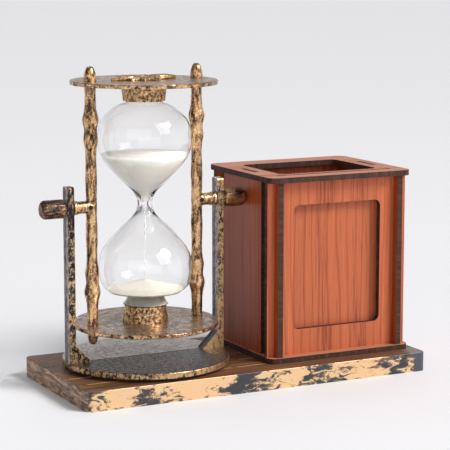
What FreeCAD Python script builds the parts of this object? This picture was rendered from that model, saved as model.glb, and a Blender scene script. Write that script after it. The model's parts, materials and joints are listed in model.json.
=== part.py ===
import FreeCAD, Part
import math
import os

from FreeCAD import Vector

# An hourglass that turns over between two uprights, and a pen holder with a photo frame in
# its front, side by side on one base board.
# Millimetres. X runs along the board, the front faces -Y and +Z is up. The origin is the
# centre of the board's underside.

# --- base board ---
# Its length follows from what stands on it, its width from the foot disc.
KNOB_OVERHANG = 6.5
KNOB_TO_BOX = 0.8
BASE_END_MARGIN = 4.4
BASE_THICK = 10.8
BASE_CORNER_RADIUS = 3.5
BASE_EDGE_RADIUS = 0.6
PLANK_COUNT = 6
GROOVE_WIDTH = 0.8
GROOVE_DEPTH = 0.5

# --- stand: foot disc and two uprights, moulded as a front and a rear half ---
PAD_SETBACK = 4.5
PAD_THICK = 1.5
FOOT_THICK = 3.5
UPRIGHT_PROUD = 0.3
FOOT_EDGE_RADIUS = 0.7
UPRIGHT_THICK = 3.7
UPRIGHT_DEPTH = 6.8
UPRIGHT_ABOVE_PIVOT = 11.6
UPRIGHT_TOP_RADIUS = 1.4
GUSSET_RUN = 9.2
GUSSET_RISE = 9.2
SEAM_WIDTH = 0.5

# --- pivot ---
SWING_CLEARANCE = 5.94
PIN_RADIUS = 2.0
PIN_RUNNING_GAP = 0.05
WASHER_RIM = 1.9
WASHER_THICK = 1.3
SIDE_PLAY = 0.4
ARM_WALL = 1.3
KNOB_RADIUS = 5.1
KNOB_LENGTH = 12.9
KNOB_SIDES = 12
KNOB_CHAMFER = 1.8
KNOB_NECK_WALL = 1.4
KNOB_NECK_LENGTH = 0.7
PIN_IN_KNOB = 9.0
PIN_PAST_ROD_AXIS = 1.5
GRUB_RADIUS = 1.25
GRUB_LENGTH = 1.3
GRUB_SOCKET_RADIUS = 0.6
GRUB_SOCKET_DEPTH = 0.7
GRUB_OUTBOARD = 1.7

# --- cage: two rods between two discs ---
DISC_THICK = 2.2
DISC_INNER_FACE = 64.2
ROD_TO_RIM = 8.5
DISC_EDGE_RADIUS = 0.5
DISC_SIDE_CLEARANCE = 2.6
BULB_TO_ROD = 2.65
ROD_RADIUS = 3.05
# Height above the pivot and extra radius: a slight belly, then a pair of knots. The heights
# are for a rod that reaches ROD_SHAPE_REACH to each side of the pivot.
ROD_SHAPE_REACH = 64.2
ROD_SHAPE = (
    (5.0, -0.15),
    (14.0, 0.45),
    (24.0, -0.2),
    (30.5, 0.0),
    (35.5, 0.95),
    (40.8, 0.3),
    (46.0, 1.35),
    (53.0, 0.05),
)
SPIGOT_RADIUS = 2.0
SPIGOT_GAP = 0.1
SPIGOT_IN_FINIAL = 3.5
FINIAL_BASE_RADIUS = 3.3
FINIAL_TIP_RADIUS = 1.9
FINIAL_LENGTH = 8.0
FINIAL_ROUND = 1.2
KEY_SLOT_LENGTH = 8.0
KEY_SLOT_WIDTH = 0.8

# --- glass and sand ---
NECK_RADIUS = 8.0
BULB_RADIUS = 25.3
BULB_HEIGHT = 36.0
# Share of the way up and out, from the waist to the widest ring.
BULB_BELOW = ((0.11, 0.04), (0.303, 0.33), (0.533, 0.70), (0.767, 0.953))
# Share of the way up and in, from the widest ring to the neck.
BULB_ABOVE = ((0.41, 0.105), (0.71, 0.44), (0.89, 0.84))
WAIST_RADIUS = 4.0
GLASS_WALL = 1.0
WAIST_EXTRA_WALL = 1.7
WAIST_EXTRA_REACH = 5.0
SHOULDER_IN_COLLAR = 1.3
STOPPER_FLANGE = 1.0
STOPPER_DEPTH = 5.0
STOPPER_GAP = 0.05
SAND_GAP = 0.05
UPPER_SAND_SHARE = 0.75
UPPER_SAND_DISH = 1.8
LOWER_SAND_DEPTH = 11.5
LOWER_SAND_RISE = 3.5
STREAM_TOP_RADIUS = 0.6
STREAM_FOOT_RADIUS = 0.4

# --- collars ---
COLLAR_HEIGHT = 9.0
COLLAR_DISC_RADIUS = 12.4
COLLAR_GLASS_RADIUS = 11.3
COLLAR_GAP = 0.05
COLLAR_EDGE_RADIUS = 0.4

# --- ornament on each disc ---
LEAF_LENGTH = 19.0
LEAF_WIDTH = 9.0
LEAF_HEIGHT = 2.4
LEAF_ROUND = 0.8
SIDE_LEAF_LENGTH = 12.0
SIDE_LEAF_WIDTH = 6.0
SIDE_LEAF_ANGLE = 68.0
BERRY_RADIUS = 3.0

# --- pen holder ---
BOX_WIDTH = 89.0
BOX_HEIGHT = 102.0
BOX_FRONT_MARGIN = 10.1
BOX_BACK_MARGIN = 4.1
BOX_CORNER_RADIUS = 5.0
BOARD = 3.0
WALL_INSET = 6.8
WALL_SETBACK = 1.6
PANEL_SETBACK = 4.5
WING = 4.5
PHOTO_SLOT = 1.8
LAP_GAP = 0.05
TAB_LENGTH = 18.0
CLADDING_SETBACK = 16.0
WINDOW_SIDE_MARGIN = 8.7
WINDOW_TOP_MARGIN = 13.3
WINDOW_BOTTOM_MARGIN = 13.9
WINDOW_CORNER_RADIUS = 3.5
MOUTH_SIDE_LEDGE = 5.6
MOUTH_FRONT_LEDGE = 0.5
MOUTH_BACK_LEDGE = 5.3
MOUTH_CORNER_RADIUS = 4.0

# --- derived sizes and places ---
ROD_X = BULB_RADIUS + BULB_TO_ROD + ROD_RADIUS
DISC_RADIUS = ROD_X + ROD_TO_RIM
DISC_OUTER_FACE = DISC_INNER_FACE + DISC_THICK
UPRIGHT_INNER = DISC_RADIUS + DISC_SIDE_CLEARANCE
UPRIGHT_OUTER = UPRIGHT_INNER + UPRIGHT_THICK
FOOT_RADIUS = UPRIGHT_OUTER - UPRIGHT_PROUD
PAD_RADIUS = FOOT_RADIUS - PAD_SETBACK
ARM_RADIUS = PIN_RADIUS + ARM_WALL
WASHER_RADIUS = PIN_RADIUS + WASHER_RIM
WASHER_START = UPRIGHT_INNER - SIDE_PLAY - WASHER_THICK
KNOB_NECK_RADIUS = PIN_RADIUS + KNOB_NECK_WALL
KNOB_START = UPRIGHT_OUTER + SIDE_PLAY + KNOB_NECK_LENGTH
KNOB_END = KNOB_START + KNOB_LENGTH
# The edge of a disc passes SWING_CLEARANCE above the foot disc, to a tenth of a millimetre.
SWING_RADIUS = math.hypot(DISC_OUTER_FACE, DISC_RADIUS)
PIVOT_HEIGHT = round(PAD_THICK + FOOT_THICK + SWING_CLEARANCE + SWING_RADIUS, 1)

WALL_CENTRE = BOX_WIDTH / 2 - WALL_INSET
WALL_INNER = WALL_CENTRE - BOARD / 2
WALL_OUTER = WALL_CENTRE + BOARD / 2
WING_END = WALL_OUTER + WING
CLADDING_OUTER = WALL_OUTER + BOARD
STAND_TO_BOX = KNOB_END + KNOB_TO_BOX + CLADDING_OUTER
BASE_WIDTH = 2 * FOOT_RADIUS
BASE_LENGTH = KNOB_END - KNOB_OVERHANG + STAND_TO_BOX + BOX_WIDTH / 2 + BASE_END_MARGIN
STAND_X = KNOB_END - KNOB_OVERHANG - BASE_LENGTH / 2
BOX_X = STAND_X + STAND_TO_BOX

BASE_TOP = BASE_THICK
FOOT_BOTTOM = BASE_TOP + PAD_THICK
FOOT_TOP = FOOT_BOTTOM + FOOT_THICK
PIVOT_Z = BASE_TOP + PIVOT_HEIGHT
PIVOT = Vector(STAND_X, 0, PIVOT_Z)

GLASS_END = DISC_INNER_FACE - STOPPER_FLANGE
SHOULDER_HEIGHT = DISC_INNER_FACE - COLLAR_HEIGHT + SHOULDER_IN_COLLAR
BORE_IN_NECK = NECK_RADIUS - GLASS_WALL
UPPER_SAND_LEVEL = UPPER_SAND_SHARE * BULB_HEIGHT
LOWER_SAND_EDGE = LOWER_SAND_DEPTH - SHOULDER_HEIGHT
LOWER_SAND_PEAK = LOWER_SAND_EDGE + LOWER_SAND_RISE

PLATE_TOP = BASE_TOP + BOARD
LID_TOP = BASE_TOP + BOX_HEIGHT
LID_BOTTOM = LID_TOP - BOARD
LAP_MIDDLE = (PLATE_TOP + LID_BOTTOM) / 2
BOX_FRONT = BOX_FRONT_MARGIN - BASE_WIDTH / 2
BOX_BACK = BASE_WIDTH / 2 - BOX_BACK_MARGIN
BOX_Y = (BOX_FRONT + BOX_BACK) / 2
WALL_FRONT = BOX_FRONT + WALL_SETBACK
WALL_BACK = BOX_BACK - WALL_SETBACK
PANEL_FRONT = WALL_FRONT + PANEL_SETBACK
PANEL_BACK = PANEL_FRONT + BOARD
BACKING_FRONT = PANEL_BACK + PHOTO_SLOT
BACKING_BACK = BACKING_FRONT + BOARD
REAR_BACK = WALL_BACK - PANEL_SETBACK
REAR_FRONT = REAR_BACK - BOARD

Z_AXIS = Vector(0, 0, 1)
X_AXIS = Vector(1, 0, 0)
Y_AXIS = Vector(0, 1, 0)


def box(x0, x1, y0, y1, z0, z1):
    return Part.makeBox(x1 - x0, y1 - y0, z1 - z0, Vector(x0, y0, z0))


def edges_along(shape, axis):
    """Straight edges that run along an axis."""
    found = []
    for edge in shape.Edges:
        if isinstance(edge.Curve, Part.Line):
            if abs(abs(edge.Curve.Direction.dot(axis)) - 1) < 1e-6:
                found.append(edge)
    return found


def rounded_board(x0, x1, y0, y1, z0, z1, radius):
    """A flat board whose four upright corners are rounded."""
    board = box(x0, x1, y0, y1, z0, z1)
    return board.makeFillet(radius, edges_along(board, Z_AXIS))


def mirrored(shape, normal):
    return shape.mirror(Vector(0, 0, 0), normal)


def placed_on_pivot(shape):
    """Move a shape drawn about the hourglass's centre to the pivot."""
    moved = shape.copy()
    moved.translate(PIVOT)
    return moved


def write(name, shape):
    os.makedirs("parts", exist_ok=True)
    shape.exportStep("parts/" + name + ".step")


# ---------------------------------------------------------------- base board

def make_base_board():
    half_length = BASE_LENGTH / 2
    half_width = BASE_WIDTH / 2
    board = rounded_board(-half_length, half_length, -half_width, half_width,
                          0, BASE_TOP, BASE_CORNER_RADIUS)
    rims = [edge for edge in board.Edges if abs(edge.CenterOfMass.z - BASE_TOP) < 1e-6]
    board = board.makeFillet(BASE_EDGE_RADIUS, rims)
    pitch = BASE_WIDTH / PLANK_COUNT
    for index in range(1, PLANK_COUNT):
        y = -half_width + index * pitch
        groove = box(-half_length - 1, half_length + 1, y - GROOVE_WIDTH / 2,
                     y + GROOVE_WIDTH / 2, BASE_TOP - GROOVE_DEPTH, BASE_TOP + 1)
        board = board.cut(groove)
    return board


# ---------------------------------------------------------------- stand

def make_stand_pad():
    return Part.makeCylinder(PAD_RADIUS, PAD_THICK, Vector(STAND_X, 0, BASE_TOP), Z_AXIS)


def make_upright(side, front):
    """Half an upright: side is -1 or 1 along X, front is -1 for the front half."""
    near = STAND_X + side * UPRIGHT_INNER
    far = STAND_X + side * UPRIGHT_OUTER
    y0 = min(0, front * UPRIGHT_DEPTH / 2)
    y1 = max(0, front * UPRIGHT_DEPTH / 2)
    post = box(min(near, far), max(near, far), y0, y1, FOOT_BOTTOM + FOOT_THICK / 2,
               PIVOT_Z + UPRIGHT_ABOVE_PIVOT)
    tops = []
    for edge in edges_along(post, X_AXIS):
        if edge.CenterOfMass.z > PIVOT_Z:
            tops.append(edge)
    return post.makeFillet(UPRIGHT_TOP_RADIUS, tops)


def make_gusset(side, front):
    """The sloping web between the foot disc and the inside of an upright."""
    wall = STAND_X + side * (UPRIGHT_INNER + UPRIGHT_THICK / 2)
    toe = STAND_X + side * (UPRIGHT_INNER - GUSSET_RUN)
    inner = STAND_X + side * UPRIGHT_INNER
    low = FOOT_BOTTOM + FOOT_THICK / 2
    corners = [
        Vector(wall, 0, low),
        Vector(toe, 0, low),
        Vector(toe, 0, FOOT_TOP),
        Vector(inner, 0, FOOT_TOP + GUSSET_RISE),
        Vector(wall, 0, FOOT_TOP + GUSSET_RISE),
    ]
    outline = Part.makePolygon(corners + corners[:1])
    return Part.Face(outline).extrude(Vector(0, front * UPRIGHT_DEPTH / 2, 0))


def make_seam_cut():
    """A fine V along the line where the two halves of the stand meet."""
    cuts = []
    bar = Part.makeBox(2 * FOOT_RADIUS + 2, SEAM_WIDTH, SEAM_WIDTH)
    bar.translate(Vector(0, -SEAM_WIDTH / 2, -SEAM_WIDTH / 2))
    bar.rotate(Vector(0, 0, 0), X_AXIS, 45)
    bar.translate(Vector(STAND_X - FOOT_RADIUS - 1, 0, FOOT_TOP))
    cuts.append(bar)
    for side in (-1, 1):
        for face in (UPRIGHT_INNER, UPRIGHT_OUTER):
            post = Part.makeBox(SEAM_WIDTH, SEAM_WIDTH, PIVOT_HEIGHT + UPRIGHT_ABOVE_PIVOT)
            post.translate(Vector(-SEAM_WIDTH / 2, -SEAM_WIDTH / 2, 0))
            post.rotate(Vector(0, 0, 0), Z_AXIS, 45)
            post.translate(Vector(STAND_X + side * face, 0, FOOT_TOP))
            cuts.append(post)
    return cuts


def make_stand_half(front):
    """Half of the foot disc with the same half of both uprights and gussets."""
    disc = Part.makeCylinder(FOOT_RADIUS, FOOT_THICK, Vector(STAND_X, 0, FOOT_BOTTOM), Z_AXIS)
    disc = disc.makeFillet(FOOT_EDGE_RADIUS, [e for e in disc.Edges if len(e.Vertexes) == 1])
    reach = FOOT_RADIUS + 1
    y0 = min(0, front * reach)
    y1 = max(0, front * reach)
    keep = box(STAND_X - reach, STAND_X + reach, y0, y1, FOOT_BOTTOM - 1, FOOT_TOP + 1)
    half = disc.common(keep)
    for side in (-1, 1):
        half = half.fuse(make_upright(side, front))
        half = half.fuse(make_gusset(side, front))
        half = half.removeSplitter()
    bore = Part.makeCylinder(PIN_RADIUS + PIN_RUNNING_GAP, 2 * UPRIGHT_OUTER + 2,
                             Vector(STAND_X - UPRIGHT_OUTER - 1, 0, PIVOT_Z), X_AXIS)
    half = half.cut(bore)
    for seam in make_seam_cut():
        half = half.cut(seam)
    return half


# ---------------------------------------------------------------- pivot

def x_cylinder(radius, start, end):
    return Part.makeCylinder(radius, end - start, Vector(start, 0, 0), X_AXIS)


def make_pin(side):
    pin = x_cylinder(PIN_RADIUS, ROD_X - PIN_PAST_ROD_AXIS, KNOB_START + PIN_IN_KNOB)
    if side < 0:
        pin = mirrored(pin, X_AXIS)
    return placed_on_pivot(pin)


def make_washer(side):
    ring = x_cylinder(WASHER_RADIUS, WASHER_START, WASHER_START + WASHER_THICK)
    ring = ring.makeFillet(WASHER_THICK / 4, [e for e in ring.Edges if len(e.Vertexes) == 1])
    ring = ring.cut(x_cylinder(PIN_RADIUS, WASHER_START - 1, WASHER_START + WASHER_THICK + 1))
    if side < 0:
        ring = mirrored(ring, X_AXIS)
    return placed_on_pivot(ring)


def make_knob(side):
    """A twelve-sided grip with bevelled ends and a short neck towards the upright."""
    corners = []
    for index in range(KNOB_SIDES + 1):
        angle = 2 * math.pi * index / KNOB_SIDES
        corners.append(Vector(KNOB_START, KNOB_RADIUS * math.cos(angle),
                              KNOB_RADIUS * math.sin(angle)))
    grip = Part.Face(Part.makePolygon(corners)).extrude(Vector(KNOB_LENGTH, 0, 0))
    inner_round = KNOB_CHAMFER / 3
    outline = Part.makePolygon([
        Vector(KNOB_START, 0, 0),
        Vector(KNOB_START, 0, KNOB_RADIUS - inner_round),
        Vector(KNOB_START + inner_round, 0, KNOB_RADIUS),
        Vector(KNOB_END - KNOB_CHAMFER, 0, KNOB_RADIUS),
        Vector(KNOB_END, 0, KNOB_RADIUS - KNOB_CHAMFER),
        Vector(KNOB_END, 0, 0),
        Vector(KNOB_START, 0, 0),
    ])
    turned = Part.Face(outline).revolve(Vector(0, 0, 0), X_AXIS, 360)
    grip = grip.common(turned)
    neck = x_cylinder(KNOB_NECK_RADIUS, KNOB_START - KNOB_NECK_LENGTH, KNOB_START + 1)
    knob = grip.fuse(neck).removeSplitter()
    bore = x_cylinder(PIN_RADIUS, KNOB_START - KNOB_NECK_LENGTH - 1, KNOB_START + PIN_IN_KNOB)
    knob = knob.cut(bore)
    if side < 0:
        knob = mirrored(knob, X_AXIS)
    return placed_on_pivot(knob)


def make_grub_screws():
    """The two set screws that lock each pin in its rod."""
    screws = []
    for side in (-1, 1):
        x = side * (ROD_X + GRUB_OUTBOARD)
        body = Part.makeCylinder(GRUB_RADIUS, GRUB_LENGTH, Vector(x, -PIN_RADIUS, 0), -Y_AXIS)
        head = -PIN_RADIUS - GRUB_LENGTH
        socket = Part.makeCylinder(GRUB_SOCKET_RADIUS, GRUB_SOCKET_DEPTH,
                                   Vector(x, head, 0), Y_AXIS)
        body = body.cut(socket)
        screws.append(body.cut(x_cylinder(PIN_RADIUS, -KNOB_START, KNOB_START)))
    return placed_on_pivot(Part.makeCompound(screws))


# ---------------------------------------------------------------- cage

def rod_outline_points():
    """Height and radius along a rod, from its top end to its bottom end."""
    upper = [(0.0, ROD_RADIUS)]
    for height, extra in ROD_SHAPE:
        upper.append((height * DISC_INNER_FACE / ROD_SHAPE_REACH, ROD_RADIUS + extra))
    upper.append((DISC_INNER_FACE, ROD_RADIUS))
    lower = [(-z, r) for z, r in upper[1:]]
    return upper[::-1] + lower


def make_rod(side):
    """A knotted rod with an arm towards the upright and a spigot at each end."""
    points = [Vector(r, 0, z) for z, r in rod_outline_points()]
    curve = Part.BSplineCurve()
    curve.interpolate(Points=points, InitialTangent=-Z_AXIS, FinalTangent=-Z_AXIS)
    top = Vector(0, 0, DISC_INNER_FACE)
    bottom = Vector(0, 0, -DISC_INNER_FACE)
    wire = Part.Wire([
        Part.makeLine(top, points[0]),
        curve.toShape(),
        Part.makeLine(points[-1], bottom),
        Part.makeLine(bottom, top),
    ])
    rod = Part.Face(wire).revolve(Vector(0, 0, 0), Z_AXIS, 360)
    reach = DISC_OUTER_FACE + SPIGOT_IN_FINIAL
    rod = rod.fuse(Part.makeCylinder(SPIGOT_RADIUS, 2 * reach, Vector(0, 0, -reach), Z_AXIS))
    rod.translate(Vector(ROD_X, 0, 0))
    rod = rod.fuse(x_cylinder(ARM_RADIUS, ROD_X, WASHER_START))
    rod = rod.cut(x_cylinder(PIN_RADIUS, ROD_X - PIN_PAST_ROD_AXIS, WASHER_START + 1))
    screw_way = Part.makeCylinder(GRUB_RADIUS, ARM_RADIUS + 1,
                                  Vector(ROD_X + GRUB_OUTBOARD, 0, 0), -Y_AXIS)
    rod = rod.cut(screw_way)
    if side < 0:
        rod = mirrored(rod, X_AXIS)
    return placed_on_pivot(rod)


def make_cage_disc(end):
    """A disc of the cage: end is 1 for the top one and -1 for the bottom one."""
    disc = Part.makeCylinder(DISC_RADIUS, DISC_THICK, Vector(0, 0, DISC_INNER_FACE), Z_AXIS)
    disc = disc.makeFillet(DISC_EDGE_RADIUS, [e for e in disc.Edges if len(e.Vertexes) == 1])
    for side in (-1, 1):
        hole = Part.makeCylinder(SPIGOT_RADIUS + SPIGOT_GAP, DISC_THICK + 2,
                                 Vector(side * ROD_X, 0, DISC_INNER_FACE - 1), Z_AXIS)
        disc = disc.cut(hole)
        near = side * (ROD_X - KEY_SLOT_LENGTH)
        far = side * ROD_X
        slot = box(min(near, far), max(near, far), -KEY_SLOT_WIDTH / 2, KEY_SLOT_WIDTH / 2,
                   DISC_INNER_FACE - 1, DISC_OUTER_FACE + 1)
        disc = disc.cut(slot)
    if end < 0:
        disc = mirrored(disc, Z_AXIS)
    return placed_on_pivot(disc)


def make_finial(side, end):
    """A small blunt cone that caps a rod's spigot outside the disc."""
    cone = Part.makeCone(FINIAL_BASE_RADIUS, FINIAL_TIP_RADIUS, FINIAL_LENGTH,
                         Vector(0, 0, DISC_OUTER_FACE), Z_AXIS)
    tip_height = DISC_OUTER_FACE + FINIAL_LENGTH
    rims = []
    for edge in cone.Edges:
        if len(edge.Vertexes) == 1 and abs(edge.CenterOfMass.z - tip_height) < 1e-6:
            rims.append(edge)
    cone = cone.makeFillet(FINIAL_ROUND, rims)
    bore = Part.makeCylinder(SPIGOT_RADIUS, SPIGOT_IN_FINIAL + 1,
                             Vector(0, 0, DISC_OUTER_FACE - 1), Z_AXIS)
    cone = cone.cut(bore)
    cone.translate(Vector(side * ROD_X, 0, 0))
    if end < 0:
        cone = mirrored(cone, Z_AXIS)
    return placed_on_pivot(cone)


def make_collar(end):
    """The tapered collar between a disc and the neck of the glass."""
    low = DISC_INNER_FACE - COLLAR_HEIGHT
    collar = Part.makeCone(COLLAR_GLASS_RADIUS, COLLAR_DISC_RADIUS, COLLAR_HEIGHT,
                           Vector(0, 0, low), Z_AXIS)
    rims = []
    for edge in collar.Edges:
        if len(edge.Vertexes) == 1 and abs(edge.CenterOfMass.z - low) < 1e-6:
            rims.append(edge)
    collar = collar.makeFillet(COLLAR_EDGE_RADIUS, rims)
    bore = Part.makeCylinder(NECK_RADIUS + COLLAR_GAP, COLLAR_HEIGHT + 2,
                             Vector(0, 0, low - 1), Z_AXIS)
    collar = collar.cut(bore)
    if end < 0:
        collar = mirrored(collar, Z_AXIS)
    collar = collar.cut(make_turned(glass_outline(COLLAR_GAP)))
    return placed_on_pivot(collar)


# ---------------------------------------------------------------- glass and sand

def bulb_points():
    """Outside of the upper bulb, from the waist up to the shoulder."""
    points = [(WAIST_RADIUS, 0.0)]
    for up, out in BULB_BELOW:
        points.append((WAIST_RADIUS + out * (BULB_RADIUS - WAIST_RADIUS), up * BULB_HEIGHT))
    points.append((BULB_RADIUS, BULB_HEIGHT))
    for up, into in BULB_ABOVE:
        points.append((BULB_RADIUS - into * (BULB_RADIUS - NECK_RADIUS),
                       BULB_HEIGHT + up * (SHOULDER_HEIGHT - BULB_HEIGHT)))
    points.append((NECK_RADIUS, SHOULDER_HEIGHT))
    return points


def glass_outline(offset):
    """The bulb outline moved outwards by offset, as one curve from top to bottom.

    Inwards, the wall is thicker at the waist, so that only a narrow throat is left.
    """
    upper = bulb_points()
    whole = [(r, z) for r, z in reversed(upper)] + [(r, -z) for r, z in upper[1:]]
    curve = Part.BSplineCurve()
    curve.interpolate(Points=[Vector(r, 0, z) for r, z in whole],
                      InitialTangent=-Z_AXIS, FinalTangent=-Z_AXIS)
    moved = []
    for r, z in whole:
        parameter = curve.parameter(Vector(r, 0, z))
        tangent = curve.tangent(parameter)[0]
        outward = Vector(-tangent.z, 0, tangent.x)
        if outward.x < 0 and abs(z) < 1e-9:
            outward = -outward
        step = offset
        if offset < 0:
            step = offset - WAIST_EXTRA_WALL * math.exp(-(z / WAIST_EXTRA_REACH) ** 2)
        moved.append(Vector(r, 0, z) + outward * step)
    shifted = Part.BSplineCurve()
    shifted.interpolate(Points=moved, InitialTangent=-Z_AXIS, FinalTangent=-Z_AXIS)
    return shifted, moved[0], moved[-1]


def make_turned(outline):
    """Turn an outline about Z, with straight necks up to the ends of the glass."""
    curve, top, bottom = outline
    neck_top = Vector(top.x, 0, GLASS_END)
    neck_bottom = Vector(bottom.x, 0, -GLASS_END)
    axis_top = Vector(0, 0, GLASS_END)
    axis_bottom = Vector(0, 0, -GLASS_END)
    wire = Part.Wire([
        Part.makeLine(axis_top, neck_top),
        Part.makeLine(neck_top, top),
        curve.toShape(),
        Part.makeLine(bottom, neck_bottom),
        Part.makeLine(neck_bottom, axis_bottom),
        Part.makeLine(axis_bottom, axis_top),
    ])
    return Part.Face(wire).revolve(Vector(0, 0, 0), Z_AXIS, 360)


def make_glass():
    outside = make_turned(glass_outline(0))
    inside = make_turned(glass_outline(-GLASS_WALL))
    return placed_on_pivot(outside.cut(inside))


def make_upper_sand():
    """Sand above the waist, its top a little dished where it drains."""
    room = make_turned(glass_outline(-GLASS_WALL - SAND_GAP))
    slab = Part.makeCylinder(BULB_RADIUS, UPPER_SAND_LEVEL, Vector(0, 0, 0), Z_AXIS)
    sand = room.common(slab)
    dish = Part.makeCone(0, BULB_RADIUS, UPPER_SAND_DISH,
                         Vector(0, 0, UPPER_SAND_LEVEL - UPPER_SAND_DISH), Z_AXIS)
    return placed_on_pivot(sand.cut(dish))


def make_lower_sand():
    """The mound in the lower bulb, down to the stopper."""
    room = make_turned(glass_outline(-GLASS_WALL - SAND_GAP))
    floor = -GLASS_END + STOPPER_DEPTH
    heap = Part.makeCylinder(BULB_RADIUS, LOWER_SAND_EDGE - floor, Vector(0, 0, floor), Z_AXIS)
    mound = Part.makeCone(BULB_RADIUS, 0.5, LOWER_SAND_PEAK - LOWER_SAND_EDGE,
                          Vector(0, 0, LOWER_SAND_EDGE), Z_AXIS)
    return placed_on_pivot(room.common(heap.fuse(mound)))


def make_falling_sand():
    stream = Part.makeCone(STREAM_TOP_RADIUS, STREAM_FOOT_RADIUS, -LOWER_SAND_PEAK,
                           Vector(0, 0, 0), -Z_AXIS)
    return placed_on_pivot(stream)


def make_stopper(end):
    """A plug in the neck of the glass with a flange against the disc."""
    plug = Part.makeCylinder(BORE_IN_NECK - STOPPER_GAP, STOPPER_DEPTH,
                             Vector(0, 0, GLASS_END - STOPPER_DEPTH), Z_AXIS)
    flange = Part.makeCylinder(NECK_RADIUS, STOPPER_FLANGE, Vector(0, 0, GLASS_END), Z_AXIS)
    stopper = plug.fuse(flange)
    if end < 0:
        stopper = mirrored(stopper, Z_AXIS)
    return placed_on_pivot(stopper)


# ---------------------------------------------------------------- ornament

def make_leaf(length, width, angle):
    """A pointed leaf lying flat, from the centre outwards at an angle."""
    start = Vector(0, 0, 0)
    tip = Vector(length, 0, 0)
    left = Part.Arc(start, Vector(length * 0.5, width / 2, 0), tip).toShape()
    right = Part.Arc(tip, Vector(length * 0.5, -width / 2, 0), start).toShape()
    leaf = Part.Face(Part.Wire([left, right])).extrude(Vector(0, 0, LEAF_HEIGHT))
    rims = []
    for edge in leaf.Edges:
        if abs(edge.CenterOfMass.z - LEAF_HEIGHT) < 1e-6:
            rims.append(edge)
    leaf = leaf.makeFillet(LEAF_ROUND, rims)
    leaf.rotate(start, Z_AXIS, angle)
    return leaf


def make_ornament(end):
    """A plain spray of leaves around a domed berry."""
    relief = Part.makeSphere(BERRY_RADIUS).common(
        box(-BERRY_RADIUS, BERRY_RADIUS, -BERRY_RADIUS, BERRY_RADIUS, 0, BERRY_RADIUS))
    for angle in (0, 180):
        relief = relief.fuse(make_leaf(LEAF_LENGTH, LEAF_WIDTH, angle))
    for angle in (SIDE_LEAF_ANGLE, 180 - SIDE_LEAF_ANGLE, 180 + SIDE_LEAF_ANGLE,
                  -SIDE_LEAF_ANGLE):
        relief = relief.fuse(make_leaf(SIDE_LEAF_LENGTH, SIDE_LEAF_WIDTH, angle))
    relief.translate(Vector(0, 0, DISC_OUTER_FACE))
    if end < 0:
        relief = mirrored(relief, Z_AXIS)
    return placed_on_pivot(relief)


# ---------------------------------------------------------------- pen holder

def make_box_plate():
    plate = rounded_board(BOX_X - BOX_WIDTH / 2, BOX_X + BOX_WIDTH / 2, BOX_FRONT, BOX_BACK,
                          BASE_TOP, PLATE_TOP, BOX_CORNER_RADIUS)
    return plate.cut(make_tab_slots(BASE_TOP, PLATE_TOP))


def make_tab_slots(z0, z1):
    """The two slots that take the tabs of the side walls."""
    slots = []
    for side in (-1, 1):
        slots.append(make_tab(side, z0, z1))
    return Part.makeCompound(slots)


def make_tab(side, z0, z1):
    near = BOX_X + side * WALL_INNER
    far = BOX_X + side * WALL_OUTER
    return box(min(near, far), max(near, far), BOX_Y - TAB_LENGTH / 2,
               BOX_Y + TAB_LENGTH / 2, z0, z1)


def make_side_wall(side):
    """A side wall with its tabs, lapped down over the front panel and the rear wall."""
    near = BOX_X + side * WALL_INNER
    far = BOX_X + side * WALL_OUTER
    x0 = min(near, far)
    x1 = max(near, far)
    wall = box(x0, x1, WALL_FRONT, WALL_BACK, PLATE_TOP, LID_BOTTOM)
    wall = wall.fuse(make_tab(side, BASE_TOP, PLATE_TOP))
    wall = wall.fuse(make_tab(side, LID_BOTTOM, LID_TOP))
    for y0, y1 in ((PANEL_FRONT, PANEL_BACK), (REAR_FRONT, REAR_BACK)):
        lap = box(x0 - 1, x1 + 1, y0 - LAP_GAP, y1 + LAP_GAP,
                  PLATE_TOP - 1, LAP_MIDDLE + LAP_GAP)
        wall = wall.cut(lap)
    return wall.removeSplitter()


def make_cross_board(y0, y1):
    """A board from wing to wing, slotted from above for the laps of both side walls."""
    board = box(BOX_X - WING_END, BOX_X + WING_END, y0, y1, PLATE_TOP, LID_BOTTOM)
    for side in (-1, 1):
        near = BOX_X + side * (WALL_INNER - LAP_GAP)
        far = BOX_X + side * (WALL_OUTER + LAP_GAP)
        lap = box(min(near, far), max(near, far), y0 - 1, y1 + 1,
                  LAP_MIDDLE, LID_BOTTOM + 1)
        board = board.cut(lap)
    return board


def make_front_panel():
    """The front board with its photo window."""
    half_width = WALL_INNER - WINDOW_SIDE_MARGIN
    window = box(BOX_X - half_width, BOX_X + half_width, PANEL_FRONT - 1, PANEL_BACK + 1,
                 PLATE_TOP + WINDOW_BOTTOM_MARGIN, LID_BOTTOM - WINDOW_TOP_MARGIN)
    window = window.makeFillet(WINDOW_CORNER_RADIUS, edges_along(window, Y_AXIS))
    return make_cross_board(PANEL_FRONT, PANEL_BACK).cut(window)


def make_backing():
    return box(BOX_X - WALL_INNER, BOX_X + WALL_INNER, BACKING_FRONT, BACKING_BACK,
               PLATE_TOP, LID_BOTTOM)


def make_rear_wall():
    return make_cross_board(REAR_FRONT, REAR_BACK)


def make_cladding(side):
    near = BOX_X + side * WALL_OUTER
    far = BOX_X + side * CLADDING_OUTER
    return box(min(near, far), max(near, far), BOX_FRONT + CLADDING_SETBACK,
               BOX_BACK - CLADDING_SETBACK, PLATE_TOP, LID_BOTTOM)


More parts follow.
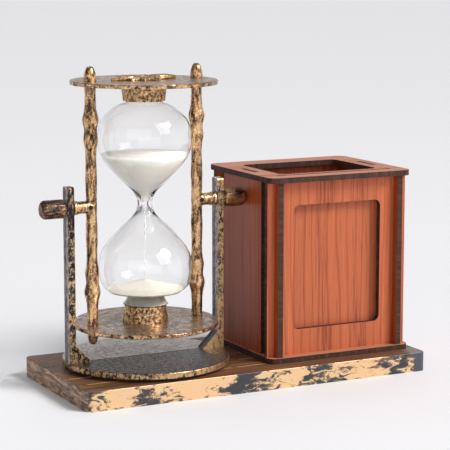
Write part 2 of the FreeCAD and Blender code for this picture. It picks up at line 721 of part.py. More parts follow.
def make_lid():
    """The lid: rounded corners, square mouth, tab slots and the photo slot."""
    lid = rounded_board(BOX_X - BOX_WIDTH / 2, BOX_X + BOX_WIDTH / 2, BOX_FRONT, BOX_BACK,
                        LID_BOTTOM, LID_TOP, BOX_CORNER_RADIUS)
    half_width = WALL_INNER - MOUTH_SIDE_LEDGE
    mouth = rounded_board(BOX_X - half_width, BOX_X + half_width,
                          BACKING_BACK + MOUTH_FRONT_LEDGE, REAR_FRONT - MOUTH_BACK_LEDGE,
                          LID_BOTTOM - 1, LID_TOP + 1, MOUTH_CORNER_RADIUS)
    lid = lid.cut(mouth)
    photo_slot = box(BOX_X - WALL_INNER, BOX_X + WALL_INNER, PANEL_BACK, BACKING_FRONT,
                     LID_BOTTOM - 1, LID_TOP + 1)
    lid = lid.cut(photo_slot)
    return lid.cut(make_tab_slots(LID_BOTTOM, LID_TOP))


# ---------------------------------------------------------------- everything

def main():
    write("base_board", make_base_board())
    write("stand_pad", make_stand_pad())
    write("stand_front_half", make_stand_half(-1))
    write("stand_rear_half", make_stand_half(1))

    write("box_bottom_plate", make_box_plate())
    write("box_front_panel", make_front_panel())
    write("box_photo_backing", make_backing())
    write("box_rear_wall", make_rear_wall())
    write("box_lid", make_lid())

    write("upper_sand", make_upper_sand())
    write("lower_sand", make_lower_sand())
    write("falling_sand", make_falling_sand())
    write("glass_vessel", make_glass())
    write("grub_screws", make_grub_screws())

    for side, side_name in ((-1, "left"), (1, "right")):
        write("box_" + side_name + "_wall", make_side_wall(side))
        write("box_" + side_name + "_cladding", make_cladding(side))
        write(side_name + "_rod", make_rod(side))
        write(side_name + "_pivot_pin", make_pin(side))
        write(side_name + "_washer", make_washer(side))
        write(side_name + "_knob", make_knob(side))
        for end, end_name in ((1, "top"), (-1, "bottom")):
            write(end_name + "_" + side_name + "_finial", make_finial(side, end))

    for end, end_name in ((1, "top"), (-1, "bottom")):
        write(end_name + "_disc", make_cage_disc(end))
        write(end_name + "_collar", make_collar(end))
        write(end_name + "_stopper", make_stopper(end))
        write(end_name + "_ornament", make_ornament(end))


main()
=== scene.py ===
import json
import math

import bpy
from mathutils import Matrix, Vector


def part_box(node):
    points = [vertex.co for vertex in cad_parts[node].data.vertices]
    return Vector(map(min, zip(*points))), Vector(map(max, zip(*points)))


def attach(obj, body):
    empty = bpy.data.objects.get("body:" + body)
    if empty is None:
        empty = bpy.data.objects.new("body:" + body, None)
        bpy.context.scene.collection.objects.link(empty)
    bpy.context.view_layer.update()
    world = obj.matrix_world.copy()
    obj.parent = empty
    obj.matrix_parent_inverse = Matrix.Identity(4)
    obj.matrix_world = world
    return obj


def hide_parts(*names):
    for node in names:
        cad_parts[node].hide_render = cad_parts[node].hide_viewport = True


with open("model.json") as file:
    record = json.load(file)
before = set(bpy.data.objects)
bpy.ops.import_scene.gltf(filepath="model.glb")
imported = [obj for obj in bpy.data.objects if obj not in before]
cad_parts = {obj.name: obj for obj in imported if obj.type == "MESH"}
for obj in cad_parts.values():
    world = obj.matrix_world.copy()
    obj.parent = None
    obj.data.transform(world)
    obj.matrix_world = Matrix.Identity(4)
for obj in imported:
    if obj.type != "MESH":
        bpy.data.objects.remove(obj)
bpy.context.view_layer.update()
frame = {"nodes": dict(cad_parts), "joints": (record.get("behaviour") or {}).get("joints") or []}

bl_info = {
    "name": "Hourglass and pen holder",
    "version": (1, 0, 0),
    "blender": (4, 5, 0),
    "location": "3D View > Sidebar > Hourglass",
    "description": "Finishes and modelled pieces for a turning hourglass beside a cherry pen holder",
    "category": "Object",
}

MM = 0.001


def srgb(code):
    """A linear colour from an sRGB hex code such as "c87850"."""
    parts = [int(code[i:i + 2], 16) / 255 for i in (0, 2, 4)]
    return tuple(c / 12.92 if c <= 0.04045 else ((c + 0.055) / 1.055) ** 2.4 for c in parts) + (1.0,)


def toned(colour, share):
    """A colour made darker or lighter by a share."""
    return tuple(min(1.0, c * share) for c in colour[:3]) + (1.0,)


def scale_along(axis, share):
    """A scale that changes one axis and leaves the other two."""
    return tuple(share if letter == axis else 1.0 for letter in "XYZ")


def middle(node_name):
    """The centre of a CAD node's box."""
    low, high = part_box(node_name)
    return (low + high) / 2


# Places that the pieces share, read from the frame.
BASE_LOW, BASE_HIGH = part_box("base_board")
PIVOT = Vector(frame["joints"][0]["pos_m"])
DISC_LOW, DISC_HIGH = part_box("top_disc")
ROD_OFFSET = middle("top_right_finial").x - PIVOT.x
DISC_FACE = DISC_LOW.z - PIVOT.z
DISC_TOP = DISC_HIGH.z - PIVOT.z
FOOT_TOP = BASE_HIGH.z + 5.1 * MM
KNOB_LOW, KNOB_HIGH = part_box("right_knob")
RING_SPACING = 1.1 * MM    # Between the rings that the glass is rebuilt from.
BAND_SPACING = 0.314    # Metres between the bands of a wave texture at scale 1.
FINIAL_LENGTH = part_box("top_right_finial")[1].z - DISC_HIGH.z
ARM_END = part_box("right_rod")[1].x - PIVOT.x


# ------------------------------------------------------------------ settings

class StageSettings(bpy.types.PropertyGroup):
    """Camera, lights and floor."""

    lens: bpy.props.FloatProperty(
        name="Lens", description="Focal length on a 36 mm sensor", default=140.6, min=20, unit="CAMERA")
    sun: bpy.props.FloatProperty(
        name="Key light", description="Strength of the soft key light", default=2.6, min=0)
    sky: bpy.props.FloatProperty(
        name="Surroundings", description="Strength of the even light from all round", default=0.22, min=0)
    floor: bpy.props.FloatVectorProperty(
        name="Floor", description="Colour of the floor", default=srgb("f0eff1"), size=4,
        subtype="COLOR", min=0, max=1)


class CageSettings(bpy.types.PropertyGroup):
    """Rods, finials, knobs and ornaments of the turning cage."""

    rod_radius: bpy.props.FloatProperty(
        name="Rod radius", description="Radius of a rod between its knots",
        default=3.05 * MM, min=0.001, unit="LENGTH")
    knot: bpy.props.FloatProperty(
        name="Knot", description="How far a knot stands out from its rod",
        default=1.3 * MM, min=0, unit="LENGTH")
    hammering: bpy.props.FloatProperty(
        name="Lumps", description="Height of the uneven cast surface",
        default=0.28 * MM, min=0, unit="LENGTH")
    leaf_length: bpy.props.FloatProperty(
        name="Leaf length", description="Length of the long leaves of the ornament",
        default=20.0 * MM, min=0.005, unit="LENGTH")
    gold: bpy.props.FloatVectorProperty(
        name="Rubbed gold", description="Colour where the bronze plating is rubbed bright",
        default=srgb("e2ba8a"), size=4, subtype="COLOR", min=0, max=1)
    brown: bpy.props.FloatVectorProperty(
        name="Bronze", description="Colour of the plating at rest",
        default=srgb("8f6d50"), size=4, subtype="COLOR", min=0, max=1)
    patina: bpy.props.FloatVectorProperty(
        name="Patina", description="Colour of the dark wash in the hollows",
        default=srgb("33261f"), size=4, subtype="COLOR", min=0, max=1)


class GlassSettings(bpy.types.PropertyGroup):
    """The blown vessel."""

    wall: bpy.props.FloatProperty(
        name="Wall", description="Thickness of the blown wall", default=0.4 * MM, min=0.0001, unit="LENGTH")
    pinch: bpy.props.FloatProperty(
        name="Throat glass", description="Extra glass that narrows the throat",
        default=2.3 * MM, min=0, unit="LENGTH")


class HolderSettings(bpy.types.PropertyGroup):
    """Veneer and burnt edges of the pen holder."""

    cherry: bpy.props.FloatVectorProperty(
        name="Cherry", description="Main colour of the veneer",
        default=srgb("b3613e"), size=4, subtype="COLOR", min=0, max=1)
    cherry_dark: bpy.props.FloatVectorProperty(
        name="Late wood", description="Colour of the darker grain",
        default=srgb("8c422b"), size=4, subtype="COLOR", min=0, max=1)
    burnt: bpy.props.FloatVectorProperty(
        name="Burnt edge", description="Colour of the edges left by the cutting beam",
        default=srgb("3a2319"), size=4, subtype="COLOR", min=0, max=1)


class BaseSettings(bpy.types.PropertyGroup):
    """Paint of the base board."""

    leaf_gold: bpy.props.FloatVectorProperty(
        name="Gold paint", description="Colour of the gold paint on the edges",
        default=srgb("dcbb92"), size=4, subtype="COLOR", min=0, max=1)
    undercoat: bpy.props.FloatVectorProperty(
        name="Undercoat", description="Colour of the dark paint under the gold",
        default=srgb("38393f"), size=4, subtype="COLOR", min=0, max=1)
    deck: bpy.props.FloatVectorProperty(
        name="Deck", description="Colour of the brushed bronze paint on top",
        default=srgb("80583a"), size=4, subtype="COLOR", min=0, max=1)


# ------------------------------------------------------------------ materials

def add(tree, kind, feeds=None, stops=None, **settings):
    """Add one node: settings are its own values, feeds its sockets' values or links, stops a ramp's."""
    made = tree.nodes.new(kind)
    place = len(tree.nodes)
    made.location = (240 * (place % 7), -300 * (place // 7))
    for key, value in settings.items():
        setattr(made, key, value)
    if stops:
        ramp = made.color_ramp
        while len(ramp.elements) < len(stops):
            ramp.elements.new(0.5)
        for element, (position, colour) in zip(ramp.elements, stops):
            element.position = position
            element.color = colour if isinstance(colour, tuple) else (colour,) * 3 + (1.0,)
    for key, value in (feeds or {}).items():
        if isinstance(value, bpy.types.NodeSocket):
            tree.links.new(value, made.inputs[key])
        else:
            made.inputs[key].default_value = value
    return made


def blank_material(name):
    """A new material with only a Principled surface. Returns it with its tree and surface node."""
    material = bpy.data.materials.new(name)
    material.use_nodes = True
    tree = material.node_tree
    tree.nodes.clear()
    surface = add(tree, "ShaderNodeBsdfPrincipled")
    add(tree, "ShaderNodeOutputMaterial", {"Surface": surface.outputs["BSDF"]})
    return material, tree, surface


def per_metre(size_mm):
    """Pattern scale for features about that many millimetres across."""
    return 1000.0 / size_mm


def dress(material, *node_names):
    """Give CAD nodes their finish."""
    for node_name in node_names:
        mesh = frame["nodes"][node_name].data
        mesh.materials.clear()
        mesh.materials.append(material)


def cast_bronze(name, gold, brown, patina, blotch_mm, stretch, gold_share, roughness,
                relief=0.55, flat=None, side=None, rise=0.0, rightwards=0.0):
    """Cast zinc alloy, plated antique bronze, washed dark and rubbed back by hand.

    The wash stays in the hollows as blotches a few millimetres wide with black specks between
    them, and the rubbed high spots are bright gold and smoother. flat and side are pairs of
    colours for level faces and for faces across X; on level faces they are painted sheen and
    painted shade, lighter or darker than the metal for the light that falls on them. rise turns
    more of the surface gold towards the foot, and the last argument turns more of it gold
    towards +X: painted light on the side the key light comes from.
    """
    material, tree, surface = blank_material(name)
    coords = add(tree, "ShaderNodeTexCoord")
    place = coords.outputs["Object"]
    long_way = add(tree, "ShaderNodeMapping", {"Vector": place, "Scale": stretch}).outputs[0]
    blotch = add(tree, "ShaderNodeTexNoise", {
        "Vector": long_way, "Scale": per_metre(blotch_mm), "Detail": 5.0, "Roughness": 0.62,
        "Distortion": 0.6}).outputs["Fac"]
    # Casting grain is about a third of a millimetre; drawn at 0.9 mm so that it shows.
    grain = add(tree, "ShaderNodeTexNoise", {
        "Vector": place, "Scale": per_metre(0.9), "Detail": 3.0, "Roughness": 0.6}).outputs["Fac"]
    both = add(tree, "ShaderNodeMath", {0: blotch, 1: 0.68}, operation="MULTIPLY").outputs[0]
    wear = add(tree, "ShaderNodeMath", {0: grain, 1: 0.32, 2: both},
               operation="MULTIPLY_ADD").outputs[0]
    worn = wear
    if rise or rightwards or side:
        spot = add(tree, "ShaderNodeSeparateXYZ", {0: place})
    if rise or rightwards:
        foot = add(tree, "ShaderNodeMapRange", {
            "Value": spot.outputs["Z"], "From Min": BASE_HIGH.z, "From Max": PIVOT.z,
            "To Min": rise, "To Max": 0.0}).outputs[0]
        lower = add(tree, "ShaderNodeMath", {0: worn, 1: foot}, operation="ADD").outputs[0]
        # More gold towards +X: painted light on the side the key light comes from.
        right = add(tree, "ShaderNodeMapRange", {
            "Value": spot.outputs["X"], "From Min": PIVOT.x - 20.0 * MM, "From Max": PIVOT.x + 20.0 * MM,
            "To Min": 0.0, "To Max": rightwards}).outputs[0]
        worn = add(tree, "ShaderNodeMath", {0: lower, 1: right}, operation="ADD").outputs[0]
    low = 0.5 - 0.16 * gold_share
    tone = add(tree, "ShaderNodeValToRGB", {"Fac": worn}, stops=(
        (low - 0.07, patina), (low, brown), (low + 0.09, gold), (low + 0.2, gold))).outputs[0]
    rough = add(tree, "ShaderNodeMapRange", {
        "Value": worn, "From Min": low - 0.06, "From Max": low + 0.1,
        "To Min": roughness + 0.16, "To Max": roughness}).outputs[0]
    # Level faces take the flat pair, which paints the light falling on the tops: paler tones are painted
    # sheen, darker ones painted shade.
    if flat or side:
        normal = add(tree, "ShaderNodeSeparateXYZ", {0: coords.outputs["Normal"]})
    for axis, pair, squareness in (("X", side, 0.45), ("Z", flat, 0.6)):
        if pair is None:
            continue
        soft = add(tree, "ShaderNodeValToRGB", {"Fac": wear}, stops=(
            (0.41, pair[0]), (0.58, pair[1]))).outputs[0]
        part = normal.outputs[axis]
        square = add(tree, "ShaderNodeMath", {0: part, 1: part}, operation="MULTIPLY").outputs[0]
        facing_mask = add(tree, "ShaderNodeMath", {0: square, 1: squareness}, operation="GREATER_THAN").outputs[0]
        if axis == "X":
            # The foot's rim keeps its own tones; the X-facing colours go only on what stands above it.
            above = add(tree, "ShaderNodeMath", {0: spot.outputs["Z"], 1: FOOT_TOP},
                        operation="GREATER_THAN").outputs[0]
            facing_mask = add(tree, "ShaderNodeMath", {0: facing_mask, 1: above}, operation="MULTIPLY").outputs[0]
        tone = add(tree, "ShaderNodeMix", {0: facing_mask, 6: tone, 7: soft}, data_type="RGBA").outputs[2]
    tree.links.new(tone, surface.inputs["Base Color"])
    tree.links.new(rough, surface.inputs["Roughness"])
    surface.inputs["Metallic"].default_value = 0.88
    bump = add(tree, "ShaderNodeBump", {"Height": wear, "Strength": relief, "Distance": 0.5 * MM})
    tree.links.new(bump.outputs[0], surface.inputs["Normal"])
    return material


def cage_bronze(cage, name, *how, **more):
    """Cast bronze in the three colours of the cage."""
    return cast_bronze(name, tuple(cage.gold), tuple(cage.brown), tuple(cage.patina), *how, **more)


def cherry_veneer(name, thin_axis, grain_axis, settings, tint=(1.0, 1.0, 1.0)):
    """3 mm board faced with cherry veneer, semi-matt lacquer, cut to shape by laser.

    The faces show fine long grain with thin dark growth lines; every cut edge is charred nearly
    black, with faint streaks through the thickness.
    """
    material, tree, surface = blank_material(name)
    coords = add(tree, "ShaderNodeTexCoord")
    place = coords.outputs["Object"]
    grain_place = add(tree, "ShaderNodeMapping", {
        "Vector": place, "Scale": scale_along(grain_axis, 0.03)}).outputs[0]
    broad = add(tree, "ShaderNodeTexNoise", {
        "Vector": grain_place, "Scale": per_metre(11.0), "Detail": 3.0, "Roughness": 0.5}).outputs["Fac"]
    # Cherry pores are 0.1 mm wide; drawn 0.8 mm wide so that they show.
    pores = add(tree, "ShaderNodeTexNoise", {
        "Vector": grain_place, "Scale": per_metre(0.8), "Detail": 3.0, "Roughness": 0.6}).outputs["Fac"]
    half = add(tree, "ShaderNodeMath", {0: broad, 1: 0.5}, operation="MULTIPLY").outputs[0]
    wood = add(tree, "ShaderNodeMath", {0: pores, 1: 0.5, 2: half}, operation="MULTIPLY_ADD").outputs[0]
    # tint makes lit and shaded copies of one veneer: painted light and shade.
    light, dark = (tuple(c * t for c, t in zip(colour[:3], tint)) + (1.0,)
                   for colour in (settings.cherry, settings.cherry_dark))
    body = add(tree, "ShaderNodeValToRGB", {"Fac": wood}, stops=(
        (0.38, dark), (0.46, light), (0.54, light), (0.64, toned(light, 1.3)))).outputs[0]
    # Growth lines 4 to 7 mm apart across the grain, a little wavy.
    across = ({"X", "Y", "Z"} - {thin_axis, grain_axis}).pop()
    wavy = add(tree, "ShaderNodeMapping", {
        "Vector": place, "Scale": scale_along(grain_axis, 0.09)}).outputs[0]
    rings = add(tree, "ShaderNodeTexWave", {
        "Vector": wavy, "Scale": BAND_SPACING * per_metre(5.2), "Distortion": 9.0, "Detail": 2.0,
        "Detail Scale": 0.9}, wave_type="BANDS", bands_direction=across).outputs["Fac"]
    line = add(tree, "ShaderNodeValToRGB", {"Fac": rings}, stops=(
        (0.0, 0.62), (0.04, 0.3), (0.2, 0.0))).outputs[0]
    face = add(tree, "ShaderNodeMix", {0: line, 6: body, 7: dark}, data_type="RGBA").outputs[2]

    edge_place = add(tree, "ShaderNodeMapping", {
        "Vector": place, "Scale": scale_along(thin_axis, 0.15)}).outputs[0]
    soot = add(tree, "ShaderNodeTexNoise", {
        "Vector": edge_place, "Scale": per_metre(1.6), "Detail": 4.0, "Roughness": 0.65}).outputs["Fac"]
    burnt = tuple(settings.burnt)
    edge = add(tree, "ShaderNodeValToRGB", {"Fac": soot}, stops=(
        (0.32, toned(burnt, 0.55)), (0.5, burnt), (0.72, toned(burnt, 2.3)))).outputs[0]

    facing = add(tree, "ShaderNodeSeparateXYZ", {0: coords.outputs["Normal"]}).outputs[thin_axis]
    square = add(tree, "ShaderNodeMath", {0: facing, 1: facing}, operation="MULTIPLY").outputs[0]
    is_face = add(tree, "ShaderNodeMath", {0: square, 1: 0.5}, operation="GREATER_THAN").outputs[0]
    colour = add(tree, "ShaderNodeMix", {0: is_face, 6: edge, 7: face}, data_type="RGBA").outputs[2]
    tree.links.new(colour, surface.inputs["Base Color"])
    lacquer = add(tree, "ShaderNodeMapRange", {
        "Value": wood, "From Min": 0.35, "From Max": 0.65, "To Min": 0.52, "To Max": 0.4}).outputs[0]
    rough = add(tree, "ShaderNodeMix", {0: is_face, 2: 0.7, 3: lacquer}).outputs[0]
    tree.links.new(rough, surface.inputs["Roughness"])
    height = add(tree, "ShaderNodeMix", {0: is_face, 2: soot, 3: pores}).outputs[0]
    surface.inputs["Specular IOR Level"].default_value = 0.35
    bump = add(tree, "ShaderNodeBump", {"Height": height, "Strength": 0.3, "Distance": 0.15 * MM})
    tree.links.new(bump.outputs[0], surface.inputs["Normal"])
    return material


def painted_board(settings):
    """The base: planks brushed with bronze paint on top, gold paint on the edges.

    The gold on the long edges has flaked off in ragged dark patches drawn out along the board,
    the ends are scratched aslant and drawn browner and darker overall as painted shade, and the
    last 9 mm on the right are bare undercoat, their top drawn paler as painted light from above.
    """
    material, tree, surface = blank_material("gold_painted_board_distressed")
    coords = add(tree, "ShaderNodeTexCoord")
    place = coords.outputs["Object"]
    spot = add(tree, "ShaderNodeSeparateXYZ", {0: place})
    normal = add(tree, "ShaderNodeSeparateXYZ", {0: coords.outputs["Normal"]})
    up = add(tree, "ShaderNodeMath", {0: normal.outputs["Z"], 1: 0.7}, operation="GREATER_THAN").outputs[0]
    aside = add(tree, "ShaderNodeMath", {0: normal.outputs["X"]}, operation="ABSOLUTE").outputs[0]
    at_end = add(tree, "ShaderNodeMath", {0: aside, 1: 0.7}, operation="GREATER_THAN").outputs[0]

    slant = add(tree, "ShaderNodeMapping", {
        "Vector": place, "Rotation": (0.0, math.radians(14), 0.0), "Scale": (0.4, 1.0, 1.0)}).outputs[0]
    patch = add(tree, "ShaderNodeTexNoise", {
        "Vector": slant, "Scale": per_metre(3.6), "Detail": 9.0, "Roughness": 0.72,
        "Distortion": 0.9}).outputs["Fac"]
    zone = add(tree, "ShaderNodeTexNoise", {
        "Vector": slant, "Scale": per_metre(13.0), "Detail": 1.0}).outputs["Fac"]
    # The edge is worn most every 50 mm along its length, first at X = -63 mm, and towards its foot.
    turn = add(tree, "ShaderNodeMath", {
        0: spot.outputs["X"], 1: 2 * math.pi / (50.0 * MM), 2: 2 * math.pi * 63.0 / 50.0},
        operation="MULTIPLY_ADD").outputs[0]
    rubbed = add(tree, "ShaderNodeMath", {0: turn}, operation="COSINE").outputs[0]
    more = add(tree, "ShaderNodeMath", {0: zone, 1: 0.4, 2: patch}, operation="MULTIPLY_ADD").outputs[0]
    foot = add(tree, "ShaderNodeMath", {0: spot.outputs["Z"], 1: -5.0, 2: more},
               operation="MULTIPLY_ADD").outputs[0]
    zoned = add(tree, "ShaderNodeMath", {0: rubbed, 1: 0.075, 2: foot}, operation="MULTIPLY_ADD").outputs[0]
    flaked = add(tree, "ShaderNodeValToRGB", {"Fac": zoned}, stops=(
        (0.678, 0.0), (0.698, 0.7), (0.745, 1.0))).outputs[0]
    tone = add(tree, "ShaderNodeValToRGB", {"Fac": patch}, stops=(
        (0.3, tuple(settings.leaf_gold)), (0.58, srgb("e2b888")), (0.7, srgb("b08258"))))
    long_edge = add(tree, "ShaderNodeMix", {
        0: flaked, 6: tone.outputs[0], 7: tuple(settings.undercoat)}, data_type="RGBA").outputs[2]

    # The ends: aslant scratches through to the undercoat, real wear, under a browner, darker tone that is
    # painted shade for the end turned away from the key light.
    scratch = add(tree, "ShaderNodeMapping", {
        "Vector": place, "Rotation": (math.radians(-38), 0.0, 0.0), "Scale": (1.0, 0.22, 1.0)}).outputs[0]
    scrape = add(tree, "ShaderNodeTexNoise", {
        "Vector": scratch, "Scale": per_metre(3.0), "Detail": 7.0, "Roughness": 0.72,
        "Distortion": 1.2}).outputs["Fac"]
    scratched_and_shaded_end = add(tree, "ShaderNodeValToRGB", {"Fac": scrape}, stops=(
        (0.36, tuple(settings.undercoat)), (0.47, srgb("6d5443")), (0.56, srgb("b08a67")),
        (0.68, srgb("dcbd97")))).outputs[0]
    sides = add(tree, "ShaderNodeMix", {0: at_end, 6: long_edge, 7: scratched_and_shaded_end}, data_type="RGBA").outputs[2]

    brushed = add(tree, "ShaderNodeMapping", {"Vector": place, "Scale": (0.045, 1.0, 1.0)}).outputs[0]
    strokes = add(tree, "ShaderNodeTexNoise", {
        "Vector": brushed, "Scale": per_metre(1.7), "Detail": 5.0, "Roughness": 0.65}).outputs["Fac"]
    paint = tuple(settings.deck)
    deck = add(tree, "ShaderNodeValToRGB", {"Fac": strokes}, stops=(
        (0.34, toned(paint, 0.33)), (0.5, paint), (0.7, toned(paint, 1.7)))).outputs[0]
    painted = add(tree, "ShaderNodeMix", {0: up, 6: sides, 7: deck}, data_type="RGBA").outputs[2]

    # Bare undercoat on the last 9 mm, whose start wanders with the patches by up to 10 mm either way.
    wander = 20.0 * MM
    ragged = add(tree, "ShaderNodeMath", {0: patch, 1: wander, 2: spot.outputs["X"]},
                 operation="MULTIPLY_ADD").outputs[0]
    edge_x = BASE_HIGH.x - 9.0 * MM + wander / 2
    bare = add(tree, "ShaderNodeMapRange", {
        "Value": ragged, "From Min": edge_x - 1.2 * MM, "From Max": edge_x + 0.6 * MM}).outputs[0]
    # The bare undercoat is drawn paler grey-beige on top than on its sides: painted light from above.
    undercoat_lit_top = add(tree, "ShaderNodeMix", {0: up, 6: srgb("4c4e55"), 7: srgb("8d8079")},
                data_type="RGBA").outputs[2]
    colour = add(tree, "ShaderNodeMix", {0: bare, 6: painted, 7: undercoat_lit_top}, data_type="RGBA").outputs[2]
    tree.links.new(colour, surface.inputs["Base Color"])
    rough = add(tree, "ShaderNodeMapRange", {
        "Value": strokes, "From Min": 0.35, "From Max": 0.65, "To Min": 0.34, "To Max": 0.5}).outputs[0]
    tree.links.new(rough, surface.inputs["Roughness"])
    surface.inputs["Metallic"].default_value = 0.25
    mix_height = add(tree, "ShaderNodeMix", {0: up, 2: zoned, 3: strokes}).outputs[0]
    bump = add(tree, "ShaderNodeBump", {"Height": mix_height, "Strength": 0.5, "Distance": 0.4 * MM})
    tree.links.new(bump.outputs[0], surface.inputs["Normal"])
    return material


def dusty_sand(name, pale, tan):
    """Washed hourglass sand, off-white, matt; single grains 0.2 mm, drawn at 0.5 mm."""
    material, tree, surface = blank_material(name)
    place = add(tree, "ShaderNodeTexCoord").outputs["Object"]
    grains = add(tree, "ShaderNodeTexNoise", {
        "Vector": place, "Scale": per_metre(0.5), "Detail": 2.0, "Roughness": 0.7}).outputs["Fac"]
    drifts = add(tree, "ShaderNodeTexNoise", {
        "Vector": place, "Scale": per_metre(7.0), "Detail": 2.0}).outputs["Fac"]
    sum_up = add(tree, "ShaderNodeMath", {0: drifts, 1: 0.5, 2: grains}, operation="MULTIPLY_ADD").outputs[0]
    colour = add(tree, "ShaderNodeValToRGB", {"Fac": sum_up}, stops=((0.5, tan), (0.78, pale), (1.0, pale)))
    tree.links.new(colour.outputs[0], surface.inputs["Base Color"])
    rough = add(tree, "ShaderNodeMapRange", {"Value": grains, "To Min": 0.8, "To Max": 0.95}).outputs[0]
    tree.links.new(rough, surface.inputs["Roughness"])
    bump = add(tree, "ShaderNodeBump", {"Height": grains, "Strength": 0.4, "Distance": 0.2 * MM})
    tree.links.new(bump.outputs[0], surface.inputs["Normal"])
    # Light soaks a few millimetres into white sand.
    surface.inputs["Subsurface Weight"].default_value = 0.7
    surface.inputs["Subsurface Radius"].default_value = (1.0, 0.95, 0.85)
    surface.inputs["Subsurface Scale"].default_value = 6.0 * MM
    return material


def thin_stream(sand):
    """The falling sand: the same grains so far apart that one sees through most of the stream."""
    material = sand.copy()
    material.name = "quartz_sand_falling"
    tree = material.node_tree
    surface = next(node for node in tree.nodes if node.type == "BSDF_PRINCIPLED")
    place = add(tree, "ShaderNodeTexCoord").outputs["Object"]
    gaps = add(tree, "ShaderNodeTexNoise", {
        "Vector": place, "Scale": per_metre(1.2), "Detail": 2.0}).outputs["Fac"]
    cover = add(tree, "ShaderNodeMapRange", {
        "Value": gaps, "From Min": 0.35, "From Max": 0.7, "To Min": 0.1, "To Max": 0.24}).outputs[0]
    tree.links.new(cover, surface.inputs["Alpha"])
    return material


def blown_glass():
    """Clear borosilicate glass, blown and fire polished, with a hardly visible ripple."""
    material, tree, surface = blank_material("borosilicate_glass_blown")
    place = add(tree, "ShaderNodeTexCoord").outputs["Object"]
    ripple = add(tree, "ShaderNodeTexNoise", {
        "Vector": place, "Scale": per_metre(14.0), "Detail": 1.0}).outputs["Fac"]
    bump = add(tree, "ShaderNodeBump", {"Height": ripple, "Strength": 0.12, "Distance": 0.4 * MM})
    tree.links.new(bump.outputs[0], surface.inputs["Normal"])
    surface.inputs["Base Color"].default_value = srgb("ffffff")
    surface.inputs["Roughness"].default_value = 0.0
    surface.inputs["IOR"].default_value = 1.47
    surface.inputs["Transmission Weight"].default_value = 1.0
    return material


def turned_steel(name, tint, roughness):
    """Bright steel turned on a lathe: fine rings round the axis, drawn 0.4 mm apart."""
    material, tree, surface = blank_material(name)
    place = add(tree, "ShaderNodeTexCoord").outputs["Object"]
    rings = add(tree, "ShaderNodeMapping", {"Vector": place, "Scale": (1.0, 0.05, 0.05)}).outputs[0]
    turned = add(tree, "ShaderNodeTexNoise", {
        "Vector": rings, "Scale": per_metre(0.4), "Detail": 2.0}).outputs["Fac"]
    colour = add(tree, "ShaderNodeValToRGB", {"Fac": turned}, stops=(
        (0.3, toned(tint, 0.7)), (0.7, tint)))
    tree.links.new(colour.outputs[0], surface.inputs["Base Color"])
    rough = add(tree, "ShaderNodeMapRange", {
        "Value": turned, "To Min": roughness, "To Max": roughness + 0.15}).outputs[0]
    tree.links.new(rough, surface.inputs["Roughness"])
    surface.inputs["Metallic"].default_value = 1.0
    return material


def moulded_rubber():
    """Dark silicone rubber, moulded: dull and a little mottled."""
    material, tree, surface = blank_material("silicone_rubber_moulded")
    place = add(tree, "ShaderNodeTexCoord").outputs["Object"]
    mottle = add(tree, "ShaderNodeTexNoise", {
        "Vector": place, "Scale": per_metre(1.5), "Detail": 3.0}).outputs["Fac"]
    colour = add(tree, "ShaderNodeValToRGB", {"Fac": mottle}, stops=(
        (0.3, srgb("241f1d")), (0.7, srgb("3a3330"))))
    tree.links.new(colour.outputs[0], surface.inputs["Base Color"])
    rough = add(tree, "ShaderNodeMapRange", {"Value": mottle, "To Min": 0.55, "To Max": 0.75}).outputs[0]
    tree.links.new(rough, surface.inputs["Roughness"])
    return material


# ------------------------------------------------------------------ modelling by hand

def nothing_selected():
    """Leave edit mode and deselect everything."""
    if bpy.context.mode != "OBJECT":
        bpy.ops.object.mode_set(mode="OBJECT")
    bpy.ops.object.select_all(action="DESELECT")


def only(piece):
    """Select one piece and make it the active one."""
    nothing_selected()
    piece.select_set(True)
    bpy.context.view_layer.objects.active = piece


def pick(piece, test, mode="VERT"):
    """In edit mode, select the vertices or faces that pass a test."""
    bpy.ops.mesh.select_mode(type=mode)
    bpy.ops.mesh.select_all(action="DESELECT")
    bpy.ops.object.mode_set(mode="OBJECT")
    chosen = piece.data.vertices if mode == "VERT" else piece.data.polygons
    for item in chosen:
        item.select = test(item)
    bpy.ops.object.mode_set(mode="EDIT")


def modify(piece, kind, **settings):
    """Add a modifier and apply it."""
    only(piece)
    made = piece.modifiers.new(kind.lower(), kind)
    for key, value in settings.items():
        setattr(made, key, value)
    bpy.ops.object.modifier_apply(modifier=made.name)


def faces_outwards():
    """In edit mode, turn every face outwards, and go back to object mode."""
    bpy.ops.mesh.select_all(action="SELECT")
    bpy.ops.mesh.normals_make_consistent(inside=False)
    bpy.ops.object.mode_set(mode="OBJECT")


def smoothed(piece, angle):
    """Shade a piece smooth, but for edges sharper than an angle in degrees."""
    only(piece)
    bpy.ops.object.shade_smooth_by_angle(angle=math.radians(angle))


def raised_post(name, foot, stations, sides, along="Z"):
    """A post raised from a ring at its foot: stations are (distance, radius) in metres."""
    nothing_selected()
    turn = (0, math.pi / 2, 0) if along == "X" else (0, 0, 0)
    way = Vector((1, 0, 0)) if along == "X" else Vector((0, 0, 1))
    start, radius = stations[0]
    bpy.ops.mesh.primitive_circle_add(
        vertices=sides, radius=radius, fill_type="NGON", location=foot + way * start, rotation=turn)
    post = bpy.context.object
    post.name = name
    bpy.ops.object.transform_apply(location=True, rotation=True, scale=True)
    bpy.ops.object.mode_set(mode="EDIT")
    bpy.ops.mesh.select_all(action="SELECT")
    for distance, wide in stations[1:]:
        bpy.ops.mesh.extrude_region_move(
            TRANSFORM_OT_translate={"value": way * (distance - start)})
        share = wide / radius
        bpy.ops.transform.resize(value=(share, share, share), center_override=foot + way * distance)
        start, radius = distance, wide
    faces_outwards()
    return post


